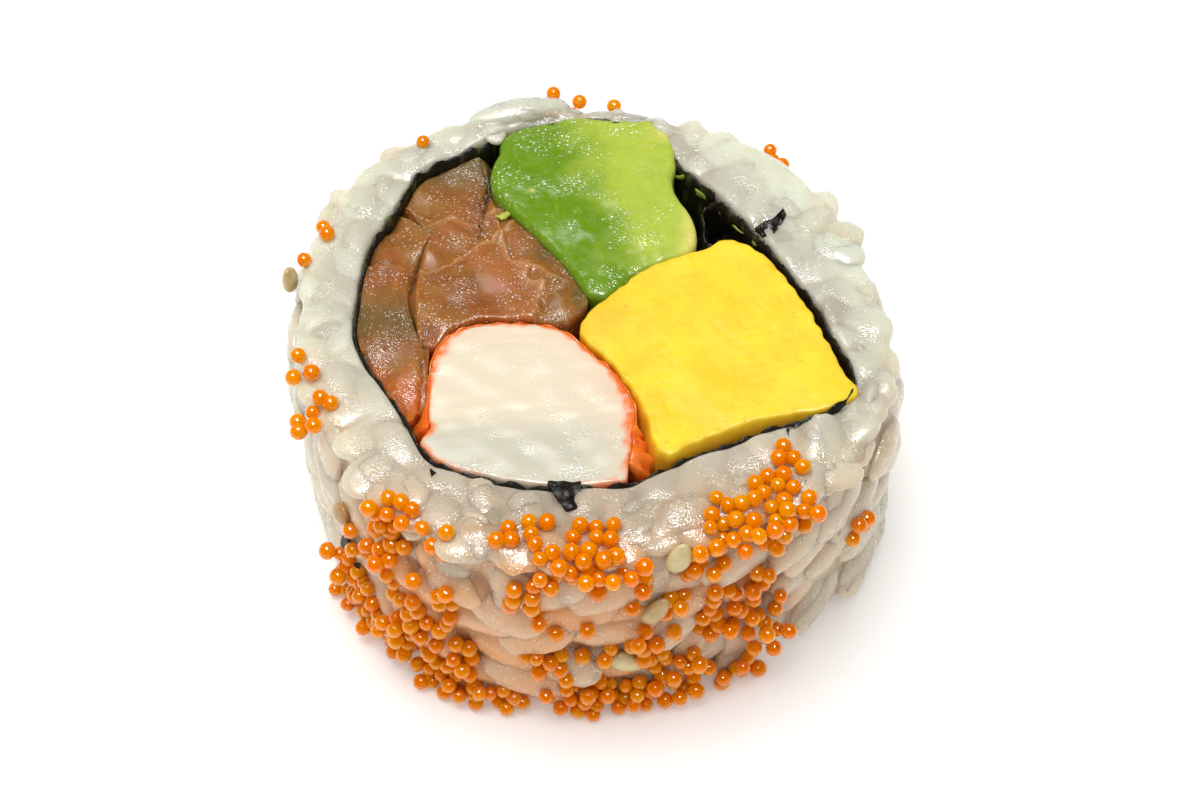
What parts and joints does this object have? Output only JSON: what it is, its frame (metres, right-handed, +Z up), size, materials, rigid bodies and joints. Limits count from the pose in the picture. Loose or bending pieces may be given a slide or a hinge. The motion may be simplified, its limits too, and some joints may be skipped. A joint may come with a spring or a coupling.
{
  "type": "sushi roll",
  "caption": "Slice of an inside-out sushi roll on its cut face: a ring of rice with roe and sesame outside, and avocado, egg, raw fish and crab stick wrapped in nori inside",
  "frame": {"origin": "middle of the lower cut face, on the surface that the slice stands on", "axes": "+Z is up through the slice, from one cut face to the other. -Y is the side of the crab stick, +Y the side of the avocado, +X the side of the egg."},
  "size_m": [0.0504, 0.0506, 0.0207],
  "materials": {
    "rice": "moist cooked rice, translucent",
    "roe": "wet, clear orange beads",
    "sesame": "smooth seed coat",
    "nori": "damp seaweed sheet",
    "avocado": "soft, moist flesh",
    "fish": "wet raw flesh, translucent",
    "crab_white": "moist, fine fibres",
    "crab_red": "moist coloured layer",
    "egg": "soft, with small pores"
  },
  "bodies": {
    "root": {"rice": "rice", "nori": "nori", "avocado": "avocado", "fish_folded": "fish", "fish_strip": "fish", "crab_stick": "crab_white", "crab_skin": "crab_red", "egg": "egg"}
  },
  "joints": []
}
